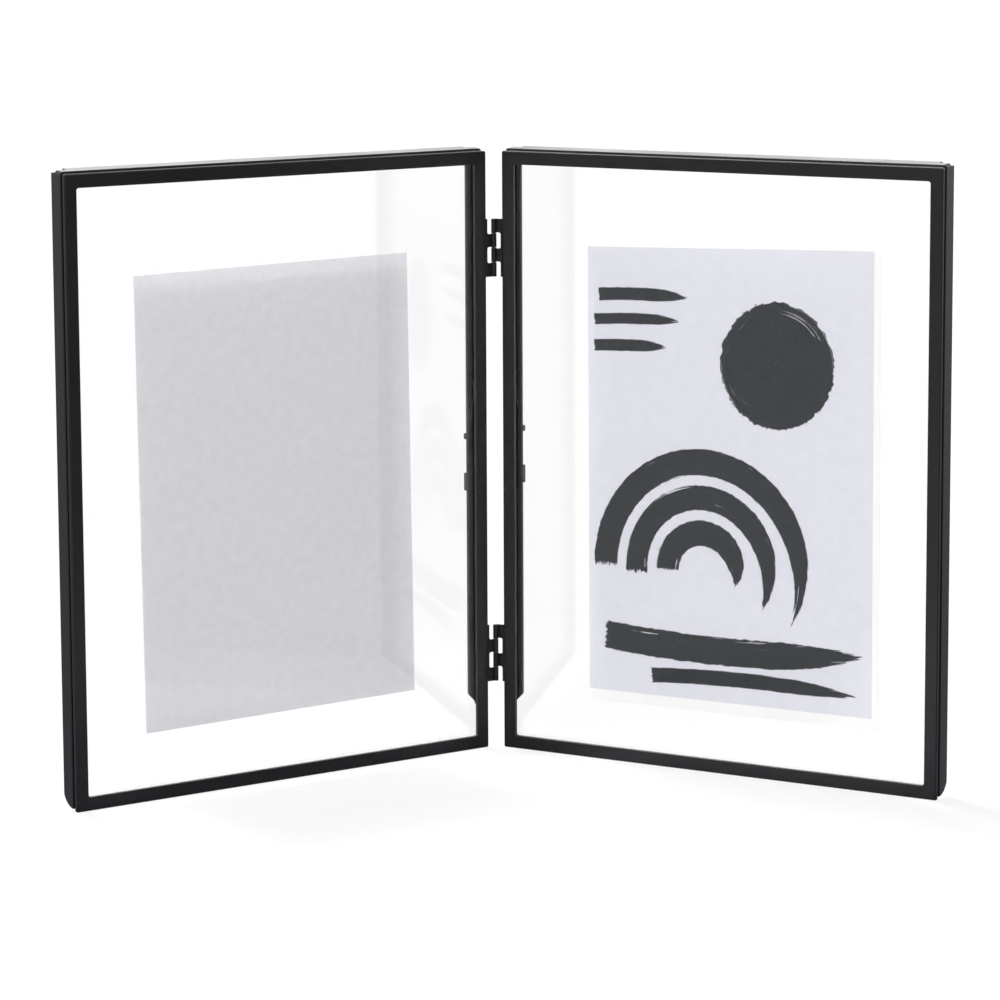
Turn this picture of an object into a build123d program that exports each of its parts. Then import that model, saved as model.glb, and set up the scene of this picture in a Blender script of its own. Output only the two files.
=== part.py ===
from build123d import *
import os
from math import cos, radians, sin

# Hinged double photo frame: two glazed leaves in thin black steel on a pair of butt hinges.
# Millimetres, +Z up. The leaves stand on Z = 0 and open in a V towards -Y, with the hinge axis on X = 0.
# side is +1 for the right leaf and -1 for the left one.
# reach runs along a leaf from its hinge edge, and depth runs back from its face.

os.makedirs("parts", exist_ok=True)

# Leaf outline and how it stands
leaf_width = 200
leaf_height = 250
leaf_angle = 34
lip_width = 5.5
overrun = 1

# Front frame: a flat ring
ring_depth = 1.6
ring_outer_corner = 0.7
ring_inner_corner = 1
ring_edge_round = 0.5

# Back channel: a strip bent round both sides and the top. Its roof stands above the ring and
# climbs to the rear
sheet = 0.8
groove_width = 1.5
channel_depth = 10.5
channel_rise = 0.9
roof_climb = 0.8
flange_width = 4.4
top_corner = 1.2
top_inner_corner = 0.4
front_bend = 0.5
rear_bend = 0.8
relief_reach = 5.2
relief_depth = 3.5
relief_drop = 1.4
flange_inner_corner = 1
toe_radius = 8
flange_end_height = 17.5
flange_end_round = 2
notch_front_height = 15.4

# Bottom ledge that the panes stand on
ledge_recess = 1
ledge_depth = 6
ledge_end_gap = 1

# Panes and prints
glass_thickness = 2
glass_edge_bevel = 0.2
pane_side_gap = 0.5
pane_top_gap = 1.4
print_width = 130
print_height = 182
print_thickness = 0.3
right_margin_side = 3
right_margin_foot = 4.6
right_rise_inside = 1.4
right_rise_outside = 4.9
left_print_shift = 2
left_print_drop = 6.4
left_print_tilt = 0.7
right_print_shift = 4.7
right_print_drop = 5
right_print_tilt = 0.2

# Spring clips
clip_sheet = 0.4
clip_height = 24
clip_inset = 1.2
clip_overhang = 0.5
clip_hook_grip = 2.4
top_ear_height = 2.4
bottom_ear_height = 7.4
tongue_width = 2.4
tongue_root = 3
tongue_rise = 19
tongue_tip_rise = 4
tongue_tip_lift = 0.9
tongue_gap = 0.05
left_clip_height = 120.4
right_clip_height = 123.6

# Hinges
hinge_height = 24
hinge_inset = 40
hinge_offset = 3.65
axis_proud = 0.3
hinge_sheet = 0.6
hinge_bend = 0.5
tab_depth = 8
knuckle_radius = 1.1
knuckle_count = 4
knuckle_gap = 0.2
neck_relief = 0.3
slot_corner = 0.8
pin_radius = 0.6
pin_clearance = 0.05
pin_chamfer = 0.15

# Rivets
rivet_radius = 0.8
rivet_clearance = 0.05
rivet_head_radius = 1.5
rivet_head_height = 0.4
rivet_head_round = 0.2
rivet_inset = 5
rivet_depth = 5.6

# Sizes and places that follow from those above
turn = radians(leaf_angle)
groove_end = ring_depth + groove_width
print_depth = ring_depth + glass_thickness
back_glass_depth = print_depth + print_thickness
pack_depth = back_glass_depth + glass_thickness
tongue_inset = 2 * sheet
pane_foot = ledge_recess + sheet
pane_width = leaf_width - 2 * (tongue_inset + pane_side_gap)
channel_top = leaf_height + channel_rise
rear_top = channel_top + roof_climb
pane_height = channel_top - tongue_inset - pane_top_gap - pane_foot
flange_front = channel_depth - sheet
knuckle_pitch = hinge_height / knuckle_count
lower_hinge_foot = hinge_inset - hinge_height / 2
upper_hinge_foot = leaf_height - hinge_inset - hinge_height / 2
hinge_feet = (lower_hinge_foot, upper_hinge_foot)
front_reach = (
    (hinge_offset + leaf_width - ring_edge_round) * sin(turn)
    - (axis_proud + ring_edge_round) * cos(turn)
    + ring_edge_round
)
rear_reach = (
    (axis_proud + channel_depth - rear_bend) * cos(turn)
    - (hinge_offset + rear_bend) * sin(turn)
    + rear_bend
)
hinge_y = (front_reach - rear_reach) / 2


def back_of(side):
    """Level direction straight back from a leaf's face."""
    return Vector(side * sin(turn), cos(turn), 0)


def along(side):
    """Level direction along a leaf, away from the hinge."""
    return Vector(side * cos(turn), -sin(turn), 0)


def face_plane(side, depth):
    """Plane parallel to a leaf's face: local Y is up, and extrusions go back."""
    origin = Vector(0, hinge_y, 0) + back_of(side) * (axis_proud + depth)
    return Plane(origin=origin, x_dir=along(side) * -side, z_dir=back_of(side))


def across(side, reach):
    """Local X in a face plane of a point at this reach."""
    return -side * (hinge_offset + reach)


def edge_plane(side, reach):
    """Plane square to a leaf: local X is depth, local Y is up, and side * amount extrudes outward."""
    origin = Vector(0, hinge_y, 0) + back_of(side) * axis_proud + along(side) * (hinge_offset + reach)
    return Plane(origin=origin, x_dir=back_of(side), z_dir=along(side) * side)


def plan_plane(side, height):
    """Level plane on the hinge axis: local X runs along a leaf, and local Y is side * distance back."""
    return Plane(origin=(0, hinge_y, height), x_dir=along(side), z_dir=(0, 0, 1))


def save(piece, name):
    """Labels a finished piece and writes its file."""
    piece.label = name
    export_step(piece, f"parts/{name}.step")


def arch_outline(side, inset, foot, corner):
    """Fills the tongue's outline, set in on both sides and the top, down to the height foot."""
    height = channel_top - inset - foot
    with Locations((across(side, leaf_width / 2), foot + height / 2)):
        Rectangle(leaf_width - 2 * inset, height)
    fillet(vertices().group_by(Axis.Y)[-1], radius=corner)


def roof_outline(inset, start, end, foot):
    """Outline, in depth and height, of what lies under the climbing roof between two depths."""
    climb = roof_climb / (channel_depth - groove_end)
    heights = [channel_top - inset + climb * (depth - groove_end) for depth in (start, end)]
    return [(start, foot), (start, heights[0]), (end, heights[1]), (end, foot)]


def front_frame(side, name):
    """Flat ring with slightly rounded face edges."""
    with BuildPart() as ring:
        with BuildSketch(face_plane(side, 0)):
            with Locations((across(side, leaf_width / 2), leaf_height / 2)):
                RectangleRounded(leaf_width, leaf_height, ring_outer_corner)
                RectangleRounded(
                    leaf_width - 2 * lip_width,
                    leaf_height - 2 * lip_width,
                    ring_inner_corner,
                    mode=Mode.SUBTRACT,
                )
        extrude(amount=ring_depth)
        face_axis = Axis((0, hinge_y, 0), back_of(side))
        fillet(ring.faces().sort_by(face_axis)[0].edges(), radius=ring_edge_round)
    save(ring.part, name)


def back_channel(side, name):
    """Joggled tongue, web and rear flange round both sides and the top."""
    with BuildPart() as channel:
        with BuildSketch(edge_plane(side, 0)):
            Polygon(*roof_outline(0, groove_end, channel_depth, ledge_recess), align=None)
        extrude(amount=side * leaf_width)
        roof_edges = channel.faces().sort_by(Axis.Z)[-1].edges()
        fillet(roof_edges.sort_by(SortBy.LENGTH)[:2], radius=top_corner)
        back_axis = Axis((0, hinge_y, 0), back_of(side))
        for end, bend in ((0, front_bend), (-1, rear_bend)):
            end_edges = channel.faces().sort_by(back_axis)[end].edges()
            fillet(end_edges.sort_by(Axis.Z)[1:], radius=bend)
        with BuildSketch(face_plane(side, ring_depth)):
            arch_outline(side, sheet, ledge_recess, top_inner_corner)
        extrude(amount=groove_width)
        with BuildSketch(face_plane(side, ring_depth)):
            arch_outline(side, tongue_inset, -overrun, top_inner_corner)
        extrude(amount=groove_width + sheet, mode=Mode.SUBTRACT)
        with BuildSketch(edge_plane(side, sheet)):
            Polygon(*roof_outline(sheet, groove_end + sheet, flange_front, -overrun), align=None)
        extrude(amount=side * (leaf_width - 2 * sheet), mode=Mode.SUBTRACT)
        with BuildSketch(face_plane(side, flange_front)):
            flange_opening(side)
        extrude(amount=sheet + overrun, mode=Mode.SUBTRACT)
        with BuildSketch(face_plane(side, channel_depth - relief_depth)):
            corner_reliefs(side)
        extrude(amount=relief_depth + overrun, mode=Mode.SUBTRACT)
        with BuildSketch(edge_plane(side, leaf_width - flange_width)):
            toe_waste()
        extrude(amount=side * (flange_width + overrun), mode=Mode.SUBTRACT)
        with BuildSketch(edge_plane(side, -overrun)):
            notch_waste()
        extrude(amount=side * (flange_width + overrun), mode=Mode.SUBTRACT)
        with BuildSketch(edge_plane(side, 0)):
            with Locations(rivet_spots()):
                Circle(rivet_radius + rivet_clearance)
        extrude(amount=2 * sheet, both=True, mode=Mode.SUBTRACT)
    save(channel.part, name)


def flange_opening(side):
    """What is open between the rear flanges, with sloped ends above the toe on both sides."""
    low = flange_end_height + sheet
    shoulder = flange_end_height + flange_width
    top = rear_top - flange_width
    far_web = leaf_width - sheet
    far_flange = leaf_width - flange_width
    outline = (
        (sheet, -overrun),
        (sheet, low),
        (flange_width, shoulder),
        (flange_width, top),
        (far_flange, top),
        (far_flange, shoulder),
        (far_web, low),
        (far_web, -overrun),
    )
    Polygon(*[(across(side, reach), height) for reach, height in outline], align=None)
    fillet(vertices().group_by(Axis.Y)[-1], radius=flange_inner_corner)
    fillet(vertices().group_by(Axis.Y)[2], radius=flange_end_round)


def corner_reliefs(side):
    """Notches at the rear of both top corners, where the flanges fold past each other."""
    width = relief_reach + overrun
    height = relief_drop + overrun
    middle = rear_top - relief_drop + height / 2
    for low in (-overrun, leaf_width - relief_reach):
        with Locations((across(side, low + width / 2), middle)):
            Rectangle(width, height)


def toe_waste():
    """What the large round at the foot of the outer web cuts away."""
    centre = (channel_depth - toe_radius, ledge_recess + toe_radius)
    with Locations((centre[0], centre[1] - toe_radius - overrun)):
        Rectangle(
            toe_radius + overrun,
            toe_radius + overrun,
            align=(Align.MIN, Align.MIN),
        )
    with Locations(centre):
        Circle(toe_radius, mode=Mode.SUBTRACT)


def notch_waste():
    """What the sloped notch at the foot of the hinge-side web cuts away."""
    slope = (flange_end_height - notch_front_height) / (channel_depth - ledge_depth)
    Polygon(
        (ledge_depth, -overrun),
        (ledge_depth, notch_front_height),
        (channel_depth + overrun, flange_end_height + slope * overrun),
        (channel_depth + overrun, -overrun),
        align=None,
    )


def rivet_heights(foot):
    """Heights of the two rivets in a hinge plate that starts at the height foot."""
    return [foot + rivet_inset, foot + hinge_height - rivet_inset]


def rivet_spots():
    """Depth and height of a leaf's four rivets, in an edge plane."""
    return [(rivet_depth, height) for foot in hinge_feet for height in rivet_heights(foot)]


def bottom_ledge(side, name):
    """Shallow strip behind the ring, between the feet of the two sides."""
    with BuildPart() as ledge:
        with BuildSketch(face_plane(side, ring_depth)):
            with Locations((across(side, leaf_width / 2), ledge_recess + sheet / 2)):
                Rectangle(leaf_width - 2 * (tongue_inset + ledge_end_gap), sheet)
        extrude(amount=ledge_depth - ring_depth)
    save(ledge.part, name)


def glass_pane(side, depth, name):
    """Cut pane with its edges bevelled."""
    with BuildPart() as pane:
        with BuildSketch(face_plane(side, depth)):
            with Locations((across(side, leaf_width / 2), pane_foot + pane_height / 2)):
                Rectangle(pane_width, pane_height)
        extrude(amount=glass_thickness)
        back_axis = Axis((0, hinge_y, 0), back_of(side))
        faces_by_depth = pane.faces().sort_by(back_axis)
        chamfer(faces_by_depth[0].edges() + faces_by_depth[-1].edges(), length=glass_edge_bevel)
    save(pane.part, name)


def print_sheet(side, place, margins, rises, name):
    """Loose sheet between the panes, a little off the middle, not quite straight, and cut unevenly."""
    shift, drop, tilt = place
    margin_side, margin_foot = margins
    rise_inside, rise_outside = rises
    inside = side * print_width / 2
    outside = -side * (print_width / 2 + margin_side)
    foot = -print_height / 2 - margin_foot
    with BuildPart() as paper:
        with BuildSketch(face_plane(side, print_depth)):
            with Locations((across(side, leaf_width / 2 + shift), leaf_height / 2 - drop)):
                Polygon(
                    (inside, foot),
                    (outside, foot),
                    (outside, print_height / 2 + rise_outside),
                    (inside, print_height / 2 + rise_inside),
                    rotation=-tilt,
                    align=None,
                )
        extrude(amount=print_thickness)
    save(paper.part, name)


def spring_clip(side, inward, height, name):
    """Clip hooked over a rear flange; inward is 1 in the hinge-side channel and -1 in the outer one."""
    edge_reach = 0 if inward == 1 else leaf_width
    foot = height - clip_height / 2
    leaf_front = flange_front - clip_sheet
    leaf_end = flange_width + clip_overhang
    ear_end = leaf_end + clip_sheet
    hook_start = flange_width - clip_hook_grip
    wrap = 2 * clip_sheet + sheet
    low_ear = (foot, bottom_ear_height)
    high_ear = (foot + clip_height - top_ear_height, top_ear_height)
    plates = [(clip_inset, leaf_end, leaf_front, clip_sheet, (foot, clip_height))]
    for ear in (low_ear, high_ear):
        plates.append((leaf_end, ear_end, leaf_front, wrap, ear))
        plates.append((hook_start, leaf_end, channel_depth, clip_sheet, ear))
    with BuildPart() as clip:
        for low, high, start, thickness, (plate_foot, plate_height) in plates:
            with BuildSketch(face_plane(side, start)):
                middle = edge_reach + inward * (low + high) / 2
                with Locations((across(side, middle), plate_foot + plate_height / 2)):
                    Rectangle(high - low, plate_height)
            extrude(amount=thickness)
        with BuildSketch(edge_plane(side, edge_reach + inward * clip_inset)):
            trace(tongue_line(foot + clip_height), line_width=clip_sheet)
        extrude(amount=side * inward * tongue_width)
    save(clip.part, name)


def tongue_line(root_height):
    """Middle line of a clip's bowed tongue, which presses on the back pane and curls away at its tip."""
    rear = flange_front - clip_sheet / 2
    front = pack_depth + tongue_gap + clip_sheet / 2
    with BuildLine() as tongue:
        root = Line((rear, root_height - tongue_root), (rear, root_height))
        bow = Spline(
            root @ 1,
            (front, root_height + tongue_rise),
            tangents=(root % 1, root % 1),
        )
        Spline(
            bow @ 1,
            (front + tongue_tip_lift, root_height + tongue_rise + tongue_tip_rise),
            tangents=(bow % 1, (tongue_tip_lift, tongue_tip_rise / 2)),
        )
    return tongue.line


def hinge_plate(side, foot, own, name):
    """Bent plate: a tab on the leaf's edge, necks across the gap and curled knuckles."""
    with BuildPart() as plate:
        with BuildSketch(face_plane(side, 0)):
            with Locations((across(side, -hinge_offset / 2), foot + hinge_height / 2)):
                Rectangle(hinge_offset, hinge_height)
            for index in range(knuckle_count):
                if index not in own:
                    slot(side, foot, index)
        extrude(amount=hinge_sheet)
        with BuildSketch(face_plane(side, 0)):
            with Locations((across(side, -hinge_sheet / 2), foot + hinge_height / 2)):
                Rectangle(hinge_sheet, hinge_height)
        extrude(amount=tab_depth)
        bend_point = face_plane(side, 0).from_local_coords((across(side, 0), foot + hinge_height / 2))
        fillet(plate.edges().filter_by(Axis.Z).sort_by_distance(bend_point)[0], radius=hinge_bend)
        for index in own:
            with BuildSketch(plan_plane(side, foot + index * knuckle_pitch + knuckle_gap / 2)):
                Circle(knuckle_radius)
            extrude(amount=knuckle_pitch - knuckle_gap)
        with BuildSketch(plan_plane(side, foot)):
            Circle(pin_radius + pin_clearance)
        extrude(amount=hinge_height, mode=Mode.SUBTRACT)
        with BuildSketch(edge_plane(side, 0)):
            with Locations([(rivet_depth, height) for height in rivet_heights(foot)]):
                Circle(rivet_radius + rivet_clearance)
        extrude(amount=2 * hinge_sheet, both=True, mode=Mode.SUBTRACT)
    save(plate.part, name)


def slot(side, foot, index):
    """Cuts the neck away beside the other plate's knuckle, with round corners at the tab."""
    low = foot + index * knuckle_pitch - neck_relief
    high = foot + (index + 1) * knuckle_pitch + neck_relief
    if index == 0:
        low = foot - slot_corner
    if index == knuckle_count - 1:
        high = foot + hinge_height + slot_corner
    width = hinge_offset - hinge_sheet + knuckle_radius
    with Locations((across(side, -hinge_sheet - width / 2), (low + high) / 2)):
        RectangleRounded(width, high - low, slot_corner, mode=Mode.SUBTRACT)


def hinge_pin(foot, name):
    """Plain pin, flush with the ends of the outer knuckles."""
    with BuildPart() as pin:
        with BuildSketch(Plane(origin=(0, hinge_y, foot), z_dir=(0, 0, 1))):
            Circle(pin_radius)
        extrude(amount=hinge_height)
        chamfer(pin.edges(), length=pin_chamfer)
    save(pin.part, name)


def hinge_rivets(side, name):
    """A leaf's four flat-head rivets, each through a hinge tab and the web behind it."""
    stack = (
        (-hinge_sheet - rivet_head_height, rivet_head_height, rivet_head_radius),
        (-hinge_sheet, hinge_sheet + sheet, rivet_radius),
        (sheet, rivet_head_height, rivet_head_radius),
    )
    with BuildPart() as rivets:
        for reach, length, radius in stack:
            with BuildSketch(edge_plane(side, reach)):
                with Locations(rivet_spots()):
                    Circle(radius)
            extrude(amount=side * length)
        length_axis = Axis((0, hinge_y, 0), along(side))
        rims = rivets.edges().filter_by(GeomType.CIRCLE).group_by(length_axis)
        fillet(rims[0] + rims[-1], radius=rivet_head_round)
    save(rivets.part, name)


sides = {"left": -1, "right": 1}
print_places = {
    "left": (left_print_shift, left_print_drop, left_print_tilt),
    "right": (right_print_shift, right_print_drop, right_print_tilt),
}
print_margins = {"left": (0, 0), "right": (right_margin_side, right_margin_foot)}
print_rises = {"left": (0, 0), "right": (right_rise_inside, right_rise_outside)}
clip_heights = {"left": left_clip_height, "right": right_clip_height}
own_knuckles = {"left": (0, 2), "right": (1, 3)}
hinges = {"lower": lower_hinge_foot, "upper": upper_hinge_foot}

for leaf, side in sides.items():
    front_frame(side, f"{leaf}_front_frame")
    back_channel(side, f"{leaf}_back_channel")
    bottom_ledge(side, f"{leaf}_bottom_ledge")
    glass_pane(side, ring_depth, f"{leaf}_front_glass")
    glass_pane(side, back_glass_depth, f"{leaf}_back_glass")
    print_sheet(
        side,
        print_places[leaf],
        print_margins[leaf],
        print_rises[leaf],
        f"{leaf}_print",
    )
    spring_clip(side, 1, clip_heights[leaf], f"{leaf}_hinge_side_clip")
    spring_clip(side, -1, clip_heights[leaf], f"{leaf}_outer_side_clip")
    hinge_rivets(side, f"{leaf}_hinge_rivets")

for place, foot in hinges.items():
    for leaf, side in sides.items():
        hinge_plate(side, foot, own_knuckles[leaf], f"{place}_hinge_{leaf}_plate")
    hinge_pin(foot, f"{place}_hinge_pin")

print("hinge axis at Y", round(hinge_y, 4))
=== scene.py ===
from math import cos, pi, radians, sin, tau

import bpy
from mathutils import Matrix, Vector


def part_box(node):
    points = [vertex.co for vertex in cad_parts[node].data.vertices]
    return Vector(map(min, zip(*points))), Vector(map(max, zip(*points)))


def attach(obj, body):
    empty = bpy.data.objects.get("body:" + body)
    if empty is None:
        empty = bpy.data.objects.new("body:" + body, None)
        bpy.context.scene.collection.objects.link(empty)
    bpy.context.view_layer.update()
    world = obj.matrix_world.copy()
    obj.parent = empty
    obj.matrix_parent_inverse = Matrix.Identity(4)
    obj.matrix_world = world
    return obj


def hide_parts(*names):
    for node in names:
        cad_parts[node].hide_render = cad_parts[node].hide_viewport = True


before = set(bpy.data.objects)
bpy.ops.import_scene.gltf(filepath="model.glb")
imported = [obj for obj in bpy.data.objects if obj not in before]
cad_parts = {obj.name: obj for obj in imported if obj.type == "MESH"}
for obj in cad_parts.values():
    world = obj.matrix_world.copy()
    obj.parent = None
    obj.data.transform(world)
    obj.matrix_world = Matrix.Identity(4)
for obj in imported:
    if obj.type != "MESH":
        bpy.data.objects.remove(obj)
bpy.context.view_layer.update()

# Hinged double photo frame: satin black steel leaves, clear panes, a bare card and a brush print.
# Metres, in the frame of the solids: +Z up, the leaves open towards -Y, the hinge axis on X = 0.
# side is +1 for the right leaf and -1 for the left one.

mm = 0.001
sides = {"left": -1, "right": 1}
leaf_turn = radians(34)

# Camera: where the photographer stood, and the long lens
camera_place = Vector((-0.0701, -1.655, 0.3701))
camera_yaw = radians(2.418)
camera_pitch = radians(-8.827)
camera_roll = radians(-0.266)
camera_lens = 149.55
camera_sensor = 36

# Inserts: a card on the left, and on the right a print with a bare margin at its outer side and
# foot. The rises say how far its uneven top edge stands above the printed height at either end.
print_width = 130 * mm
print_height = 182 * mm
print_tilts = {"left": radians(0.7), "right": radians(0.2)}
print_margins = {"left": (0, 0), "right": (3 * mm, 4.6 * mm)}
print_rises = {"left": (0, 0), "right": (1.4 * mm, 4.9 * mm)}
paper_thickness = 0.2 * mm
paper_cell = 5 * mm
cockle_height = 0.03 * mm
cockle_length = 42 * mm
cockle_slant = 0.35

# Brush strokes on the print, in millimetres from its middle: across, up, radius of the stroke's
# middle line, half its width, where it starts and how far it sweeps in degrees
strokes = (
    (22, 48, 11, 15, 70, 720),
    (-12, -38, 16, 5.4, 186, -192),
    (-12, -38, 30.5, 5.2, 190, -203),
    (-12, -38, 45, 5.6, 186, -196),
    (-4, 530, 600, 6, 264.6, 10.9),
    (10, -681, 600, 3.2, 94.6, -8.6),
    (-38, -226, 300, 2.7, 94.4, -7.6),
    (-36, -236, 300, 2.3, 95.2, -7.4),
    (-39, -247, 300, 2.5, 94.6, -6.2),
)

# Brush: bristle tracks in each millimetre across a stroke, and how long a streak runs in millimetres
bristles_per_mm = 1.5
streak_length = 34

# Floor. The eye sees it white all over. To reflections and bounced light it carries painted light and
# shade:
# a painted pool of light with a faint painted glow in one patch in front of the left leaf, ending near
# that leaf at the painted edge of its shadow, a painted pale spot at the right leaf's foot, and painted
# shade in greys elsewhere. Places and greys are fitted to the photograph.
floor_half = 14
floor_drop = 0.1 * mm
painted_light_left = -0.42
painted_light_right = 0.08
painted_shadow_depth = 0.135
painted_edge_blur = 0.01
hinge_back = 0.0534
painted_shade_front_left = -0.4
painted_shade_front_right = 0.1
painted_light_foot_start = 0
painted_light_foot_full = 0.05
painted_light_foot_fading = 0.145
painted_light_foot_end = 0.175
front_ends = -0.2
rear_starts = -0.05
painted_patch_glow = 0.1
seen_glow = 0.8

# Backdrop: how bright reflections and bounced light meet it, also fitted to the photograph
front_level_left = 0.32
front_level_right = 0.08
rear_level_left = 0.7
rear_level_right = 1
overhead_level = 0.35

# Lamps: name, the way to it, how wide it looks in degrees and its strength
lamps = (
    ("top_light", (-0.235, 0.348, 0.91), 12, 2.2),
    ("key_light", (-0.6, -0.6, 0.53), 45, 0.9),
    ("fill_light", (0.6, -0.65, 0.47), 45, 0.47),
    ("back_light", (0, 0.95, 0.31), 34, 0.7),
    ("right_rim_light", (0.84, 0.5, 0.2), 50, 0.7),
    ("left_rim_light", (-0.87, 0.43, 0.25), 50, 0.35),
)


def linear(code):
    """An sRGB hex colour as the linear RGBA that the shaders take."""
    parts = [int(code[i : i + 2], 16) / 255 for i in (1, 3, 5)]
    return (*[c / 12.92 if c <= 0.04045 else ((c + 0.055) / 1.055) ** 2.4 for c in parts], 1)


def add(tree, kind, inputs=None, **settings):
    """Adds a node with its settings. Each input is a value, or the socket that feeds it."""
    node = tree.nodes.new(kind)
    for name, value in settings.items():
        setattr(node, name, value)
    for name, value in (inputs or {}).items():
        if isinstance(value, bpy.types.NodeSocket):
            tree.links.new(value, node.inputs[name])
        else:
            node.inputs[name].default_value = value
    return node


def new_material(name):
    """An empty material, with its node tree."""
    material = bpy.data.materials.new(name)
    material.use_nodes = True
    material.node_tree.nodes.clear()
    return material, material.node_tree


def per_metre(length):
    """Noise scale that gives features of this length."""
    return 1 / length


def satin_black_powder_coat():
    """Powder coat baked on steel: near black, with a soft wide sheen that drifts a little."""
    material, tree = new_material("satin_black_powder_coat")
    spot = add(tree, "ShaderNodeTexCoord").outputs["Object"]
    drift = add(
        tree,
        "ShaderNodeTexNoise",
        {"Vector": spot, "Scale": per_metre(30 * mm), "Detail": 2},
    )
    sheen = add(
        tree,
        "ShaderNodeMapRange",
        {
            "Value": drift.outputs["Fac"],
            "From Min": 0.3,
            "From Max": 0.7,
            "To Min": 0.38,
            "To Max": 0.44,
        },
    )
    # The orange peel of baked paint, drawn as coarse as it needs to show
    peel = add(
        tree,
        "ShaderNodeTexNoise",
        {"Vector": spot, "Scale": per_metre(0.9 * mm), "Detail": 2, "Roughness": 0.5},
    )
    bump = add(
        tree,
        "ShaderNodeBump",
        {"Height": peel.outputs["Fac"], "Strength": 0.1, "Distance": 0.01 * mm},
    )
    paint = add(
        tree,
        "ShaderNodeBsdfPrincipled",
        {
            "Base Color": linear("#131315"),
            "Roughness": sheen.outputs["Result"],
            "IOR": 1.5,
            "Normal": bump.outputs["Normal"],
        },
    )
    add(tree, "ShaderNodeOutputMaterial", {"Surface": paint.outputs["BSDF"]})
    return material


def clear_float_glass():
    """Float glass: flat, clear and nearly colourless. Lamps shine through it onto the paper."""
    material, tree = new_material("clear_float_glass")
    glass = add(
        tree,
        "ShaderNodeBsdfPrincipled",
        {
            "Base Color": linear("#fefefe"),
            "Roughness": 0.0,
            # Fitted to the photograph. Float glass has about 1.52
            "IOR": 1.45,
            "Transmission Weight": 1.0,
        },
    )
    clear = add(tree, "ShaderNodeBsdfTransparent", {"Color": linear("#fefefe")})
    path = add(tree, "ShaderNodeLightPath")
    pane = add(
        tree,
        "ShaderNodeMixShader",
        {0: path.outputs["Is Shadow Ray"], 1: glass.outputs["BSDF"], 2: clear.outputs["BSDF"]},
    )
    add(tree, "ShaderNodeOutputMaterial", {"Surface": pane.outputs["Shader"]})
    return material


def clouds(tree, cell, low, high):
    """A share that drifts between two values in soft clouds of this cell size."""
    spot = add(tree, "ShaderNodeTexCoord").outputs["Object"]
    noise = add(
        tree,
        "ShaderNodeTexNoise",
        {"Vector": spot, "Scale": per_metre(cell), "Detail": 5, "Roughness": 0.65},
    )
    share = add(
        tree,
        "ShaderNodeMapRange",
        {
            "Value": noise.outputs["Fac"],
            "From Min": 0.3,
            "From Max": 0.7,
            "To Min": low,
            "To Max": high,
        },
    )
    return share.outputs["Result"]


def finish_paper(tree, colour, fibre_bump):
    """Ends a paper's nodes: matt, with a fine felt of fibres under this colour."""
    spot = add(tree, "ShaderNodeTexCoord").outputs["Object"]
    fibres = add(
        tree,
        "ShaderNodeTexNoise",
        {"Vector": spot, "Scale": per_metre(0.5 * mm), "Detail": 3, "Roughness": 0.6},
    )
    bump = add(
        tree,
        "ShaderNodeBump",
        {"Height": fibres.outputs["Fac"], "Strength": fibre_bump, "Distance": 0.02 * mm},
    )
    sheet = add(
        tree,
        "ShaderNodeBsdfPrincipled",
        {
            "Base Color": colour,
            "Roughness": 0.8,
            "IOR": 1.5,
            # Fitted to the photograph, under the usual 0.5
            "Specular IOR Level": 0.15,
            "Normal": bump.outputs["Normal"],
        },
    )
    add(tree, "ShaderNodeOutputMaterial", {"Surface": sheet.outputs["BSDF"]})


def grey_recycled_card():
    """Recycled card: a light lavender grey, clouded by its uneven pulp."""
    material, tree = new_material("grey_recycled_card")
    colour = add(
        tree,
        "ShaderNodeMix",
        {0: clouds(tree, 4 * mm, 0, 1), 6: linear("#dddce1"), 7: linear("#e5e4e9")},
        data_type="RGBA",
    )
    finish_paper(tree, colour.outputs[2], 0.3)
    return material


def white_uncoated_paper():
    """Bare uncoated paper: the back, the edges and the margin of the print."""
    material, tree = new_material("white_uncoated_paper")
    colour = add(
        tree,
        "ShaderNodeMix",
        {0: clouds(tree, 6 * mm, 0, 1), 6: linear("#f8f8f8"), 7: linear("#fcfcfc")},
        data_type="RGBA",
    )
    finish_paper(tree, colour.outputs[2], 0.3)
    return material


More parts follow.
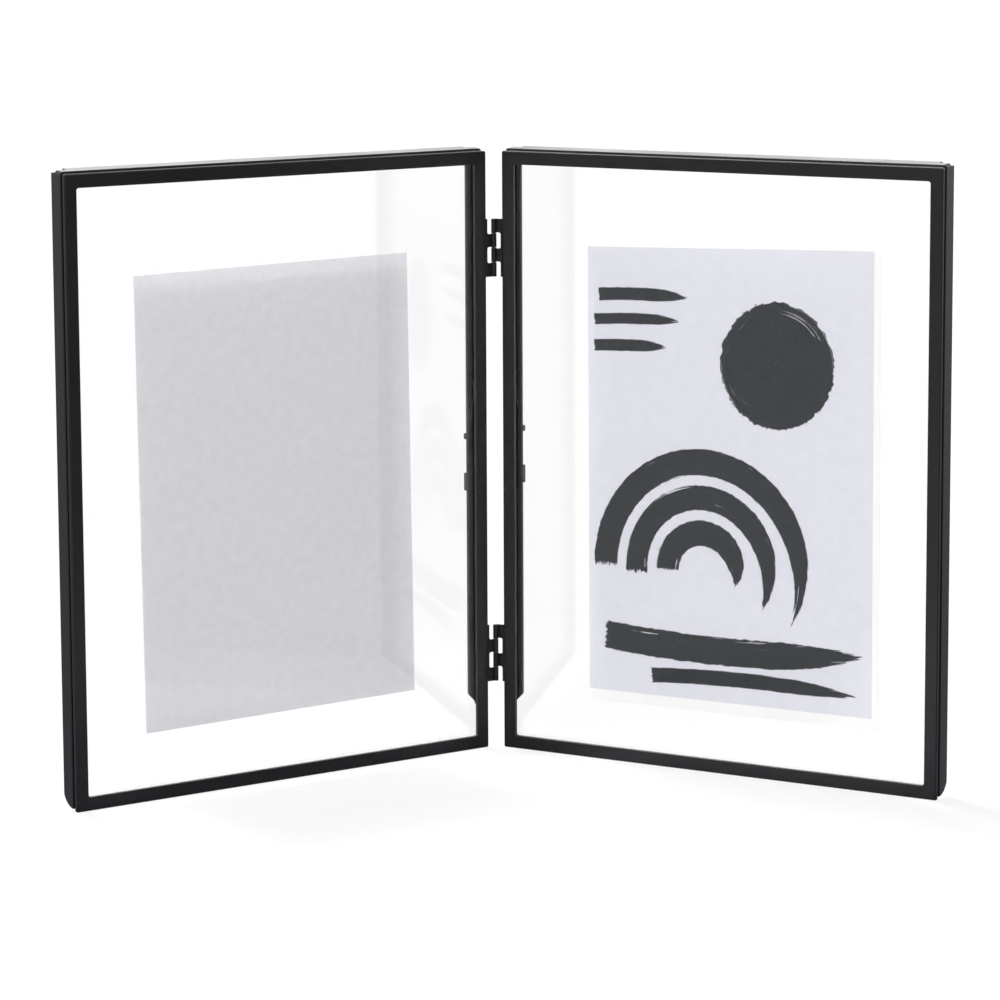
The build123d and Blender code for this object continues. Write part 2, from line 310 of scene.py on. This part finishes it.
def brush_stroke_group():
    """Node group for one brush stroke along an arc: 1 in the ink, 0 off it, with a dry ragged end."""
    group = bpy.data.node_groups.new("brush_stroke", "ShaderNodeTree")
    for name, kind in (
        ("Spot", "NodeSocketVector"),
        ("Centre", "NodeSocketVector"),
        ("Radius", "NodeSocketFloat"),
        ("Half Width", "NodeSocketFloat"),
        ("Start", "NodeSocketFloat"),
        ("Sweep", "NodeSocketFloat"),
    ):
        group.interface.new_socket(name, in_out="INPUT", socket_type=kind)
    group.interface.new_socket("Ink", in_out="OUTPUT", socket_type="NodeSocketFloat")
    given = add(group, "NodeGroupInput").outputs
    radius = given["Radius"]
    sweep = given["Sweep"]

    # Distance and angle from the centre of the arc
    offset = add(
        group,
        "ShaderNodeVectorMath",
        {0: given["Spot"], 1: given["Centre"]},
        operation="SUBTRACT",
    ).outputs[0]
    away = add(group, "ShaderNodeVectorMath", {0: offset}, operation="LENGTH").outputs["Value"]
    flat = add(group, "ShaderNodeSeparateXYZ", {0: offset}).outputs
    angle = add(group, "ShaderNodeMath", {0: flat["Y"], 1: flat["X"]}, operation="ARCTAN2").outputs[0]

    # Bristle tracks: fine across the stroke and long along it
    track = add(group, "ShaderNodeMath", {0: away, 1: bristles_per_mm}, operation="MULTIPLY").outputs[0]
    run = add(group, "ShaderNodeMath", {0: angle, 1: radius}, operation="MULTIPLY").outputs[0]
    slow = add(group, "ShaderNodeMath", {0: run, 1: streak_length}, operation="DIVIDE").outputs[0]
    lane = add(group, "ShaderNodeCombineXYZ", {0: track, 1: slow, 2: radius}).outputs[0]
    bristles = add(
        group,
        "ShaderNodeTexNoise",
        {"Vector": lane, "Scale": 1, "Detail": 3, "Roughness": 0.7},
    ).outputs["Fac"]

    # Progress from 0 at the start to 1 at the end, ragged from bristle to bristle
    past = add(group, "ShaderNodeMath", {0: angle, 1: given["Start"]}, operation="SUBTRACT").outputs[0]
    turned = add(group, "ShaderNodeMath", {0: past, 1: sweep}, operation="DIVIDE").outputs[0]
    ragged = add(
        group,
        "ShaderNodeMath",
        {0: bristles, 1: -0.06, 2: turned},
        operation="MULTIPLY_ADD",
    ).outputs[0]
    span = add(group, "ShaderNodeMath", {0: sweep}, operation="ABSOLUTE").outputs[0]
    lap = add(group, "ShaderNodeMath", {0: tau, 1: span}, operation="DIVIDE").outputs[0]
    progress = add(group, "ShaderNodeMath", {0: ragged, 1: lap, 2: 0}, operation="WRAP").outputs[0]

    # How much of the half width is left at a point, less what dryness and stray bristles take
    shift = add(group, "ShaderNodeMath", {0: away, 1: radius}, operation="SUBTRACT").outputs[0]
    slant = add(
        group,
        "ShaderNodeMath",
        {0: shift, 1: given["Half Width"]},
        operation="DIVIDE",
    ).outputs[0]
    wide = add(group, "ShaderNodeMath", {0: slant}, operation="ABSOLUTE").outputs[0]
    body = add(group, "ShaderNodeMath", {0: 1, 1: wide}, operation="SUBTRACT").outputs[0]
    dryness = add(
        group,
        "ShaderNodeMapRange",
        {"Value": progress, "From Min": 0.55, "From Max": 2.35, "To Min": 0, "To Max": 4},
    ).outputs["Result"]
    cubed = add(group, "ShaderNodeMath", {0: dryness, 1: 3}, operation="POWER").outputs[0]
    thin = add(
        group,
        "ShaderNodeMath",
        {0: bristles, 1: 1.2, 2: 0.2},
        operation="MULTIPLY_ADD",
    ).outputs[0]
    dried = add(group, "ShaderNodeMath", {0: cubed, 1: thin}, operation="MULTIPLY").outputs[0]
    scratch = add(
        group,
        "ShaderNodeMapRange",
        {"Value": bristles, "From Min": 0.62, "From Max": 1, "To Min": 0, "To Max": 2.7},
    ).outputs["Result"]
    wobble = add(
        group,
        "ShaderNodeTexNoise",
        {"Vector": given["Spot"], "Scale": 0.35, "Detail": 4, "Roughness": 0.6},
    ).outputs["Fac"]
    rim = add(
        group,
        "ShaderNodeMath",
        {0: wobble, 1: 0.3, 2: -0.12},
        operation="MULTIPLY_ADD",
    ).outputs[0]
    worn = add(group, "ShaderNodeMath", {0: dried, 1: scratch}, operation="ADD").outputs[0]
    edge = add(group, "ShaderNodeMath", {0: rim, 1: worn}, operation="ADD").outputs[0]
    left = add(group, "ShaderNodeMath", {0: body, 1: edge}, operation="SUBTRACT").outputs[0]
    sharp = add(
        group,
        "ShaderNodeMath",
        {0: given["Half Width"], 1: 3},
        operation="MULTIPLY",
    ).outputs[0]
    ink = add(
        group,
        "ShaderNodeMath",
        {0: left, 1: sharp, 2: 0.5},
        operation="MULTIPLY_ADD",
        use_clamp=True,
    ).outputs[0]
    add(group, "NodeGroupOutput", {"Ink": ink})
    return group


def matt_art_print():
    """Matt offset print: charcoal brush arcs on a pale lavender grey ground, both faintly clouded."""
    material, tree = new_material("matt_art_print")
    spot = add(tree, "ShaderNodeTexCoord").outputs["Object"]
    in_mm = add(tree, "ShaderNodeVectorMath", {0: spot, "Scale": 1 / mm}, operation="SCALE").outputs[0]
    group = brush_stroke_group()
    inks = []
    for across, up, radius, half_width, start, sweep in strokes:
        stroke = add(tree, "ShaderNodeGroup", node_tree=group)
        tree.links.new(in_mm, stroke.inputs["Spot"])
        stroke.inputs["Centre"].default_value = (across, up, 0)
        stroke.inputs["Radius"].default_value = radius
        stroke.inputs["Half Width"].default_value = half_width
        stroke.inputs["Start"].default_value = radians(start)
        stroke.inputs["Sweep"].default_value = radians(sweep)
        inks.append(stroke.outputs["Ink"])
    ink = inks[0]
    for other in inks[1:]:
        ink = add(tree, "ShaderNodeMath", {0: ink, 1: other}, operation="MAXIMUM").outputs[0]
    ground = add(
        tree,
        "ShaderNodeMix",
        {0: clouds(tree, 5 * mm, 0, 1), 6: linear("#dfdfe8"), 7: linear("#e5e5ed")},
        data_type="RGBA",
    )
    charcoal = add(
        tree,
        "ShaderNodeMix",
        {0: clouds(tree, 12 * mm, 0, 1), 6: linear("#11171c"), 7: linear("#181e23")},
        data_type="RGBA",
    )
    colour = add(
        tree,
        "ShaderNodeMix",
        {0: ink, 6: ground.outputs[2], 7: charcoal.outputs[2]},
        data_type="RGBA",
    )
    finish_paper(tree, colour.outputs[2], 0.08)
    return material


def blackened_spring_steel():
    """Rolled and blackened spring steel: dark metal with a fine lengthwise grain."""
    material, tree = new_material("blackened_spring_steel")
    spot = add(tree, "ShaderNodeTexCoord").outputs["Object"]
    drawn = add(tree, "ShaderNodeMapping", {"Vector": spot, "Scale": (1, 1, 0.05)})
    grain = add(
        tree,
        "ShaderNodeTexNoise",
        {"Vector": drawn.outputs["Vector"], "Scale": per_metre(0.3 * mm), "Detail": 2},
    )
    rub = add(
        tree,
        "ShaderNodeMapRange",
        {"Value": grain.outputs["Fac"], "To Min": 0.28, "To Max": 0.42},
    )
    bump = add(
        tree,
        "ShaderNodeBump",
        {"Height": grain.outputs["Fac"], "Strength": 0.2, "Distance": 0.01 * mm},
    )
    steel = add(
        tree,
        "ShaderNodeBsdfPrincipled",
        {
            "Base Color": linear("#56565a"),
            "Metallic": 1.0,
            "Roughness": rub.outputs["Result"],
            "Normal": bump.outputs["Normal"],
        },
    )
    add(tree, "ShaderNodeOutputMaterial", {"Surface": steel.outputs["BSDF"]})
    return material


def insert_sheet(leaf, printed, bare):
    """A loose sheet between the panes, barely cockled: printed in front, bare everywhere else."""
    side = sides[leaf]
    low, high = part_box(f"{leaf}_print")
    margin_side, margin_foot = print_margins[leaf]
    rise_start, rise_end = print_rises[leaf]
    columns = round(print_width / paper_cell)
    rows = round(print_height / paper_cell)
    across = [(column / columns - 0.5) * print_width for column in range(columns + 1)]
    up = [(row / rows - 0.5) * print_height for row in range(rows + 1)]
    if margin_side:
        across.append(print_width / 2 + margin_side)
    if margin_foot:
        up.insert(0, -print_height / 2 - margin_foot)
    points, faces, kinds = [], [], []
    sheet_width = across[-1] - across[0]
    for half in (1, -1):
        for y in up:
            for x in across:
                rise = rise_start + (rise_end - rise_start) * (x - across[0]) / sheet_width
                height = y + rise * max(0, y / print_height + 0.5)
                wave = sin(tau * (x + cockle_slant * y) / cockle_length)
                points.append((x, height, half * paper_thickness / 2 + wave * cockle_height))
    width = len(across)
    layer = width * len(up)
    for row in range(len(up) - 1):
        for column in range(width - 1):
            corner = row * width + column
            front = (corner, corner + 1, corner + width + 1, corner + width)
            faces.append(front)
            faces.append(tuple(layer + index for index in reversed(front)))
            on_margin = column >= columns or up[row] < -print_height / 2
            kinds += [1 if on_margin else 0, 1]
    rim = list(range(width - 1))
    rim += [row * width + width - 1 for row in range(len(up) - 1)]
    rim += [layer - 1 - column for column in range(width - 1)]
    rim += [row * width for row in range(len(up) - 1, 0, -1)]
    for first, second in zip(rim, rim[1:] + rim[:1]):
        faces.append((first, layer + first, layer + second, second))
        kinds.append(1)
    mesh = bpy.data.meshes.new(f"{leaf}_insert")
    mesh.from_pydata(points, [], faces)
    mesh.polygons.foreach_set("material_index", kinds)
    mesh.materials.append(printed)
    mesh.materials.append(bare)
    sheet = bpy.data.objects.new(f"{leaf}_insert", mesh)
    bpy.context.scene.collection.objects.link(sheet)
    rightward = Vector((cos(leaf_turn), -side * sin(leaf_turn), 0))
    towards = Vector((-side * sin(leaf_turn), -cos(leaf_turn), 0))
    facing = Matrix((rightward, (0, 0, 1), towards)).transposed()
    turned = facing @ Matrix.Rotation(print_tilts[leaf], 3, "Z")
    ends = (0, width - 1, layer - width, layer - 1)
    corners = [turned @ Vector((*points[index][:2], 0)) for index in ends]
    middle = Vector([(min(places) + max(places)) / 2 for places in zip(*corners)])
    sheet.matrix_world = Matrix.Translation((low + high) / 2 - middle) @ turned.to_4x4()
    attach(sheet, f"{leaf}_leaf")
    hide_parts(f"{leaf}_print")
    return sheet


def dress_nodes(finishes):
    """Gives each solid that stays its finish, by the words in its name."""
    for name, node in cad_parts.items():
        finish = next((made for word, made in finishes.items() if word in name), None)
        if finish is None:
            continue
        node.data.materials.clear()
        node.data.materials.append(finish)


def photo_camera():
    """The photograph's view."""
    data = bpy.data.cameras.new("photo_view")
    data.lens = camera_lens
    data.sensor_width = camera_sensor
    data.clip_end = 60
    view = bpy.data.objects.new("photo_view", data)
    bpy.context.scene.collection.objects.link(view)
    heading = Matrix.Rotation(-camera_yaw, 3, "Z")
    nod = Matrix.Rotation(pi / 2 + camera_pitch, 3, "X")
    roll = Matrix.Rotation(camera_roll, 3, "Z")
    view.matrix_world = Matrix.Translation(camera_place) @ (heading @ nod @ roll).to_4x4()
    bpy.context.scene.camera = view


def soft_light(name, towards, spread, strength):
    """A broad far light, such as a large soft box: the way to it, how wide it looks and its strength."""
    data = bpy.data.lights.new(name, "SUN")
    data.energy = strength
    data.angle = radians(spread)
    light = bpy.data.objects.new(name, data)
    light.rotation_euler = Vector(towards).to_track_quat("Z", "Y").to_euler()
    bpy.context.scene.collection.objects.link(light)


def table_with_painted_light():
    """Floor under the object: white to the eye; to reflections and bounced light, a painted pool of
    light in one patch and painted shade elsewhere.
    """
    mesh = bpy.data.meshes.new("table")
    signs = ((-1, -1), (1, -1), (1, 1), (-1, 1))
    corners = [(x * floor_half, y * floor_half, -floor_drop) for x, y in signs]
    mesh.from_pydata(corners, [], [(0, 1, 2, 3)])
    table = bpy.data.objects.new("table", mesh)
    bpy.context.scene.collection.objects.link(table)
    material, tree = new_material("white_laminate_painted_light")
    spot = add(tree, "ShaderNodeTexCoord").outputs["Object"]
    place = add(tree, "ShaderNodeSeparateXYZ", {0: spot}).outputs
    past_left = add(
        tree,
        "ShaderNodeMapRange",
        {
            "Value": place["X"],
            "From Min": painted_light_left - painted_edge_blur,
            "From Max": painted_light_left + painted_edge_blur,
        },
        interpolation_type="SMOOTHSTEP",
    )
    past_right = add(
        tree,
        "ShaderNodeMapRange",
        {
            "Value": place["X"],
            "From Min": painted_light_right + painted_edge_blur,
            "From Max": painted_light_right - painted_edge_blur,
        },
        interpolation_type="SMOOTHSTEP",
    )
    # How far a spot lies in front of the left leaf's plane, where that leaf's painted shadow ends
    from_hinge = add(
        tree,
        "ShaderNodeVectorMath",
        {0: spot, 1: (0, hinge_back, 0)},
        operation="SUBTRACT",
    )
    before_leaf = add(
        tree,
        "ShaderNodeVectorMath",
        {0: from_hinge.outputs[0], 1: (sin(leaf_turn), -cos(leaf_turn), 0)},
        operation="DOT_PRODUCT",
    )
    past_painted_shadow = add(
        tree,
        "ShaderNodeMapRange",
        {
            "Value": before_leaf.outputs["Value"],
            "From Min": painted_shadow_depth - painted_edge_blur,
            "From Max": painted_shadow_depth + painted_edge_blur,
        },
        interpolation_type="SMOOTHSTEP",
    )
    # The painted pool of light: between its two sides and past the left leaf's painted shadow
    across = add(
        tree,
        "ShaderNodeMath",
        {0: past_left.outputs["Result"], 1: past_right.outputs["Result"]},
        operation="MULTIPLY",
    )
    in_painted_light = add(
        tree,
        "ShaderNodeMath",
        {0: across.outputs[0], 1: past_painted_shadow.outputs["Result"]},
        operation="MULTIPLY",
    )
    path = add(tree, "ShaderNodeLightPath").outputs
    seen = add(
        tree,
        "ShaderNodeMath",
        {0: path["Is Camera Ray"], 1: path["Is Transmission Ray"]},
        operation="MAXIMUM",
    )
    white = add(
        tree,
        "ShaderNodeMath",
        {0: seen.outputs[0], 1: in_painted_light.outputs[0]},
        operation="MAXIMUM",
    )
    # Painted shade for reflections and bounced light: greys in front of the leaves, darker towards the
    # right
    rightward = add(
        tree,
        "ShaderNodeMapRange",
        {"Value": place["X"], "From Min": painted_shade_front_left, "From Max": painted_shade_front_right},
    )
    painted_front_shade = add(
        tree,
        "ShaderNodeMix",
        {0: rightward.outputs["Result"], 6: linear("#898891"), 7: linear("#4f4e56")},
        data_type="RGBA",
    )
    # Nearer the leaves: painted shade by the left leaf, and a painted pale spot of light at the right
    # leaf's foot
    past_hinge = add(
        tree,
        "ShaderNodeMapRange",
        {"Value": place["X"], "From Min": painted_light_foot_start, "From Max": painted_light_foot_full},
        interpolation_type="SMOOTHSTEP",
    )
    before_end = add(
        tree,
        "ShaderNodeMapRange",
        {"Value": place["X"], "From Min": painted_light_foot_end, "From Max": painted_light_foot_fading},
        interpolation_type="SMOOTHSTEP",
    )
    painted_light_at_right_foot = add(
        tree,
        "ShaderNodeMath",
        {0: past_hinge.outputs["Result"], 1: before_end.outputs["Result"]},
        operation="MULTIPLY",
    )
    painted_rear_shade = add(
        tree,
        "ShaderNodeMix",
        {0: painted_light_at_right_foot.outputs[0], 6: linear("#888790"), 7: linear("#eeedf6")},
        data_type="RGBA",
    )
    rearward = add(
        tree,
        "ShaderNodeMapRange",
        {"Value": place["Y"], "From Min": front_ends, "From Max": rear_starts},
    )
    dim = add(
        tree,
        "ShaderNodeMix",
        {0: rearward.outputs["Result"], 6: painted_front_shade.outputs[2], 7: painted_rear_shade.outputs[2]},
        data_type="RGBA",
    )
    # White to the eye and on the painted pool of light; the painted shade greys everywhere else
    colour = add(
        tree,
        "ShaderNodeMix",
        {0: white.outputs[0], 6: dim.outputs[2], 7: linear("#fafafa")},
        data_type="RGBA",
    )
    lit = add(tree, "ShaderNodeBsdfDiffuse", {"Color": colour.outputs[2]})
    glow = add(tree, "ShaderNodeEmission", {"Strength": 1.0})
    # Painted glow: reflections meet a faint emission on the painted pool of light, over its lit white
    mirrored = add(
        tree,
        "ShaderNodeMath",
        {0: path["Is Glossy Ray"], 1: in_painted_light.outputs[0]},
        operation="MULTIPLY",
    )
    painted_glow_share = add(
        tree,
        "ShaderNodeMath",
        {0: mirrored.outputs[0], 1: painted_patch_glow},
        operation="MULTIPLY",
    )
    seen_share = add(
        tree,
        "ShaderNodeMath",
        {0: seen.outputs[0], 1: seen_glow},
        operation="MULTIPLY",
    )
    share = add(
        tree,
        "ShaderNodeMath",
        {0: painted_glow_share.outputs[0], 1: seen_share.outputs[0]},
        operation="MAXIMUM",
    )
    mix = add(
        tree,
        "ShaderNodeMixShader",
        {0: share.outputs[0], 1: lit.outputs["BSDF"], 2: glow.outputs["Emission"]},
    )
    add(tree, "ShaderNodeOutputMaterial", {"Surface": mix.outputs["Shader"]})
    table.data.materials.append(material)


def white_backdrop():
    """White to the eye. Reflections meet it bright behind, and dim in front and overhead."""
    world = bpy.data.worlds.new("studio")
    bpy.context.scene.world = world
    world.use_nodes = True
    world.cycles.sampling_method = "NONE"
    tree = world.node_tree
    tree.nodes.clear()
    direction = add(tree, "ShaderNodeTexCoord").outputs["Generated"]
    way = add(tree, "ShaderNodeSeparateXYZ", {0: direction}).outputs
    front = add(
        tree,
        "ShaderNodeMapRange",
        {
            "Value": way["X"],
            "From Min": -1,
            "From Max": 1,
            "To Min": front_level_left,
            "To Max": front_level_right,
        },
    )
    back = add(
        tree,
        "ShaderNodeMapRange",
        {
            "Value": way["X"],
            "From Min": -1,
            "From Max": 1,
            "To Min": rear_level_left,
            "To Max": rear_level_right,
        },
    )
    behind = add(
        tree,
        "ShaderNodeMapRange",
        {"Value": way["Y"], "From Min": -0.3, "From Max": 0.3},
        interpolation_type="SMOOTHSTEP",
    )
    path = add(tree, "ShaderNodeLightPath").outputs
    sheen_behind = add(
        tree,
        "ShaderNodeMath",
        {0: behind.outputs["Result"], 1: path["Is Glossy Ray"]},
        operation="MULTIPLY",
    )
    around = add(
        tree,
        "ShaderNodeMix",
        {0: sheen_behind.outputs[0], 2: front.outputs["Result"], 3: back.outputs["Result"]},
    )
    overhead = add(
        tree,
        "ShaderNodeMapRange",
        {"Value": way["Z"], "From Min": 0.25, "From Max": 0.7},
        interpolation_type="SMOOTHSTEP",
    )
    dome = add(
        tree,
        "ShaderNodeMix",
        {0: overhead.outputs["Result"], 2: around.outputs[0], 3: overhead_level},
    )
    seen = add(
        tree,
        "ShaderNodeMath",
        {0: path["Is Camera Ray"], 1: path["Is Transmission Ray"]},
        operation="MAXIMUM",
    )
    straight_back = add(
        tree,
        "ShaderNodeMapRange",
        {"Value": way["Y"], "From Min": 0.5, "From Max": 0.9},
        interpolation_type="SMOOTHSTEP",
    )
    mirrored = add(
        tree,
        "ShaderNodeMath",
        {0: path["Is Glossy Ray"], 1: straight_back.outputs["Result"]},
        operation="MULTIPLY",
    )
    shown = add(
        tree,
        "ShaderNodeMath",
        {0: seen.outputs[0], 1: mirrored.outputs[0]},
        operation="MAXIMUM",
    )
    level = add(
        tree,
        "ShaderNodeMath",
        {0: dome.outputs[0], 1: shown.outputs[0]},
        operation="MAXIMUM",
    )
    sky = add(
        tree,
        "ShaderNodeBackground",
        {"Color": linear("#ffffff"), "Strength": level.outputs[0]},
    )
    add(tree, "ShaderNodeOutputWorld", {"Surface": sky.outputs["Background"]})


photo_camera()
table_with_painted_light()
white_backdrop()
for lamp in lamps:
    soft_light(*lamp)

black = satin_black_powder_coat()
dress_nodes({
    "clip": blackened_spring_steel(),
    "glass": clear_float_glass(),
    "frame": black,
    "channel": black,
    "ledge": black,
    "hinge": black,
})
card = grey_recycled_card()
insert_sheet("left", card, card)
insert_sheet("right", matt_art_print(), white_uncoated_paper())

bpy.context.scene.view_settings.view_transform = "Standard"
